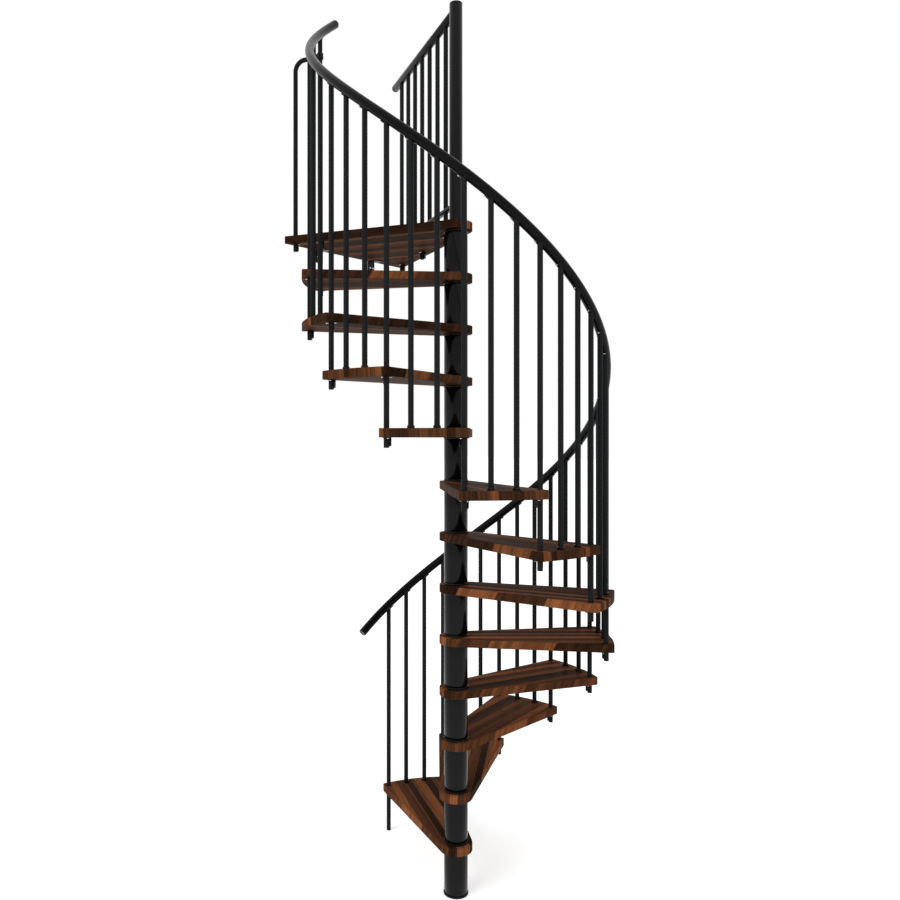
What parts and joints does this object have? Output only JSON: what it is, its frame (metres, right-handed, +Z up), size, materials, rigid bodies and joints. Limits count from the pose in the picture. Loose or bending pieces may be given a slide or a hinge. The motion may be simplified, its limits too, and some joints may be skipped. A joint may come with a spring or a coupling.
{
  "type": "spiral staircase",
  "caption": "Spiral staircase with wedge-shaped wooden treads on a round steel column, a helical handrail on thin round balusters and a railed landing at the top.",
  "frame": {"origin": "middle of the underside of the base flange, on the axis of the column, at floor level", "axes": "Z up along the column; Y out of the landing at right angles to its outer edge; X along that edge, so that the stair goes up clockwise as seen from above"},
  "size_m": [1.4, 1.4904, 4.149],
  "materials": {
    "wood": "dark walnut, satin lacquer",
    "black_coat": "black satin powder coat on steel",
    "black_plastic": "matte"
  },
  "bodies": {
    "root": {"tread_01": "wood", "tread_02": "wood", "tread_03": "wood", "tread_04": "wood", "tread_05": "wood", "tread_06": "wood", "tread_07": "wood", "tread_08": "wood", "tread_09": "wood", "tread_10": "wood", "tread_11": "wood", "tread_12": "wood", "landing": "wood", "base_flange": "black_coat", "centre_pole": "black_coat", "spacer_tubes": "black_coat", "first_baluster": "black_coat", "balusters_01": "black_coat", "balusters_02": "black_coat", "balusters_03": "black_coat", "balusters_04": "black_coat", "balusters_05": "black_coat", "balusters_06": "black_coat", "balusters_07": "black_coat", "balusters_08": "black_coat", "balusters_09": "black_coat", "balusters_10": "black_coat", "balusters_11": "black_coat", "balusters_12": "black_coat", "baluster_seats": "black_coat", "handrail_saddles": "black_coat", "handrail_lower": "black_coat", "handrail_middle": "black_coat", "handrail_upper": "black_coat", "landing_handrail": "black_coat", "landing_balusters": "black_coat", "landing_bottom_rail": "black_coat", "end_baluster": "black_coat", "landing_seats": "black_coat", "floor_bracket_left": "black_coat", "floor_bracket_right": "black_coat", "pole_cap": "black_plastic", "centring_rings": "black_plastic", "baluster_collars": "black_plastic", "handrail_caps": "black_plastic", "end_clamp": "black_plastic"}
  },
  "joints": []
}
